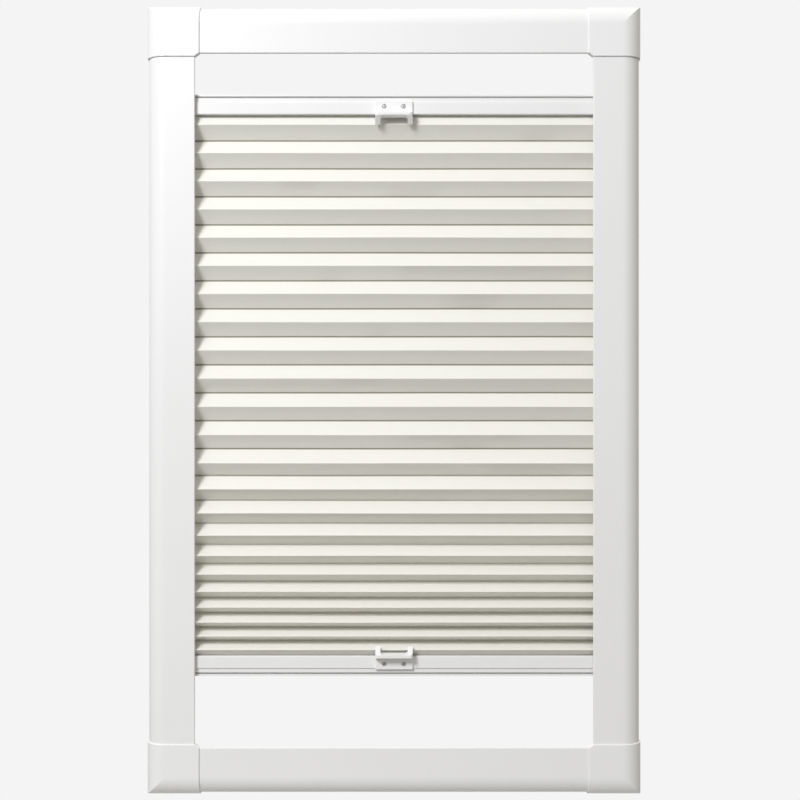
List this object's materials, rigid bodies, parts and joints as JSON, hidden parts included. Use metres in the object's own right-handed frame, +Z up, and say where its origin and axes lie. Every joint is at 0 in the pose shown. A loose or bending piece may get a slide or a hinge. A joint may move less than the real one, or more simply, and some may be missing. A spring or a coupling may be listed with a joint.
{
  "type": "pleated blind",
  "caption": "Rounded white frame with corner caps, holding a pleated cloth between two sliding rails, each with an eared finger handle.",
  "frame": {"origin": "centre of the back face, which is the centre of the four sash screw holes", "axes": "+Z up along the side profiles, +X to the right seen from the room, +Y into the window, so the front faces -Y"},
  "size_m": [0.498, 0.0325, 0.794],
  "materials": {
    "coated_aluminium": "satin white powder coat",
    "white_plastic": "smooth satin moulding",
    "inner_plastic": "plain moulding",
    "spring_steel": "bright strip",
    "screw_steel": "zinc plated",
    "pleated_cloth": "cream-white woven polyester, pleated"
  },
  "bodies": {
    "frame": {"left_cover_profile": "coated_aluminium", "right_cover_profile": "coated_aluminium", "top_cover_profile": "coated_aluminium", "bottom_cover_profile": "coated_aluminium", "left_base_profile": "coated_aluminium", "right_base_profile": "coated_aluminium", "top_base_profile": "coated_aluminium", "bottom_base_profile": "coated_aluminium", "top_left_corner_cap": "white_plastic", "top_right_corner_cap": "white_plastic", "bottom_left_corner_cap": "white_plastic", "bottom_right_corner_cap": "white_plastic", "top_left_corner_connector": "inner_plastic", "top_right_corner_connector": "inner_plastic", "bottom_left_corner_connector": "inner_plastic", "bottom_right_corner_connector": "inner_plastic", "connector_screws": "screw_steel", "pleated_cloth": "pleated_cloth"},
    "upper_rail": {"upper_rail": "coated_aluminium", "upper_cloth_strip": "inner_plastic", "upper_left_slider": "inner_plastic", "upper_right_slider": "inner_plastic", "upper_left_brake_spring": "spring_steel", "upper_right_brake_spring": "spring_steel", "upper_handle": "white_plastic", "upper_handle_screws": "screw_steel"},
    "lower_rail": {"lower_rail": "coated_aluminium", "lower_cloth_strip": "inner_plastic", "lower_left_slider": "inner_plastic", "lower_right_slider": "inner_plastic", "lower_left_brake_spring": "spring_steel", "lower_right_brake_spring": "spring_steel", "lower_handle": "white_plastic", "lower_handle_screws": "screw_steel"}
  },
  "joints": [
    {"name": "upper_rail_slide", "type": "slide", "parent": "frame", "child": "upper_rail", "axis": [0, 0, -1], "range_m": [-0.0362, 0.252], "deforming": ["pleated_cloth"]},
    {"name": "lower_rail_slide", "type": "slide", "parent": "frame", "child": "lower_rail", "axis": [0, 0, 1], "range_m": [-0.0666, 0.252], "deforming": ["pleated_cloth"]}
  ]
}
